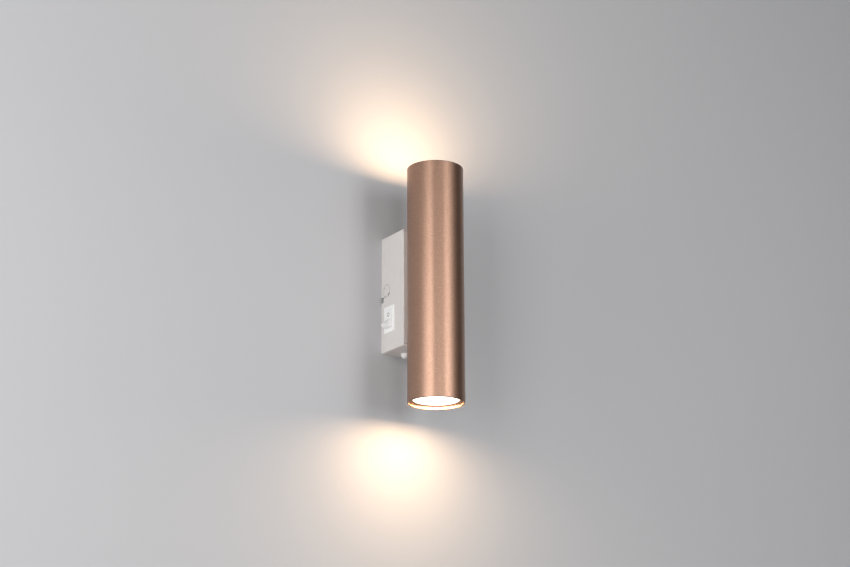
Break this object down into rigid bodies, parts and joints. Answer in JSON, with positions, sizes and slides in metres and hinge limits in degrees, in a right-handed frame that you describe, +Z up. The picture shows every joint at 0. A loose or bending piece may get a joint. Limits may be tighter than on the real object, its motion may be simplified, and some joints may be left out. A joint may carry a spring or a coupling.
{
  "type": "tube wall light",
  "caption": "Slim wall light: a round metal tube, open at both ends, with a twist-lock reflector lamp in each mouth, carried on a narrow wall box with a rocker switch in its side.",
  "frame": {"origin": "middle of the wall bracket's back, on the wall", "axes": "+Z up along the tube, +Y into the wall, +X to the right along the wall as seen from the room"},
  "size_m": [0.06, 0.1036, 0.2565],
  "materials": {
    "tube_lacquer": "satin metallic lacquer",
    "box_paint": "matte powder coat",
    "zinc_steel": "zinc plated",
    "cap_nut_paint": "satin",
    "brass": "bright",
    "grommet_rubber": "matte",
    "block_plastic": "matte",
    "switch_plastic": "semi-gloss",
    "plunger_plastic": "matte",
    "spring_steel": "bright",
    "holder_ceramic": "satin",
    "lead_insulation": "matte",
    "lamp_shell": "matte",
    "lamp_trim": "gloss",
    "lamp_lens": "frosted",
    "driver_capsule": "matte",
    "board_metal": "white solder mask"
  },
  "bodies": {
    "fixture": {"tube": "tube_lacquer", "wall_box": "box_paint", "wall_bracket": "zinc_steel", "bracket_studs": "zinc_steel", "cap_nuts": "cap_nut_paint", "cable_grommet": "grommet_rubber", "terminal_block": "block_plastic", "terminal_clamps": "brass", "terminal_screws": "brass", "block_screws": "zinc_steel", "earth_tag": "brass", "earth_screw": "brass", "hollow_nipple": "zinc_steel", "lock_washers": "zinc_steel", "nipple_nuts": "zinc_steel", "tube_screws": "zinc_steel", "lamp_bracket": "zinc_steel", "holder_screws": "zinc_steel", "switch_housing": "switch_plastic", "common_terminal": "brass", "load_terminal": "brass", "switch_receptacles": "brass", "feed_lead": "lead_insulation", "earth_lead": "lead_insulation", "upper_lampholder": "holder_ceramic", "upper_contacts": "brass", "upper_leads": "lead_insulation", "lower_lampholder": "holder_ceramic", "lower_contacts": "brass", "lower_leads": "lead_insulation"},
    "rocker": {"switch_rocker": "switch_plastic", "switch_plunger": "plunger_plastic", "switch_spring": "spring_steel"},
    "bridge": {"contact_bridge": "brass"},
    "upper_lamp": {"upper_lamp_body": "lamp_shell", "upper_lamp_pins": "brass", "upper_driver": "driver_capsule", "upper_light_board": "board_metal", "upper_lens": "lamp_lens", "upper_lamp_ring": "lamp_trim"},
    "lower_lamp": {"lower_lamp_body": "lamp_shell", "lower_lamp_pins": "brass", "lower_driver": "driver_capsule", "lower_light_board": "board_metal", "lower_lens": "lamp_lens", "lower_lamp_ring": "lamp_trim"}
  },
  "joints": [
    {"name": "rocker_tilt", "type": "hinge", "parent": "fixture", "child": "rocker", "pos_m": [-0.021, -0.0165, -0.03], "axis": [0, -1, 0], "range_deg": [0, 40]},
    {"name": "bridge_tilt", "type": "hinge", "parent": "fixture", "child": "bridge", "pos_m": [-0.007, -0.0165, -0.03], "axis": [0, -1, 0], "range_deg": [-16, 0]},
    {"name": "upper_lamp_twist", "type": "hinge", "parent": "fixture", "child": "upper_lamp", "pos_m": [0, -0.0736, 0.0747], "axis": [0, 0, 1], "range_deg": [0, 35]},
    {"name": "lower_lamp_twist", "type": "hinge", "parent": "fixture", "child": "lower_lamp", "pos_m": [0, -0.0736, -0.0795], "axis": [0, 0, -1], "range_deg": [0, 35]}
  ],
  "couplings": [
    {"joint": "bridge_tilt", "follows": "rocker_tilt", "ratio": -0.4}
  ]
}
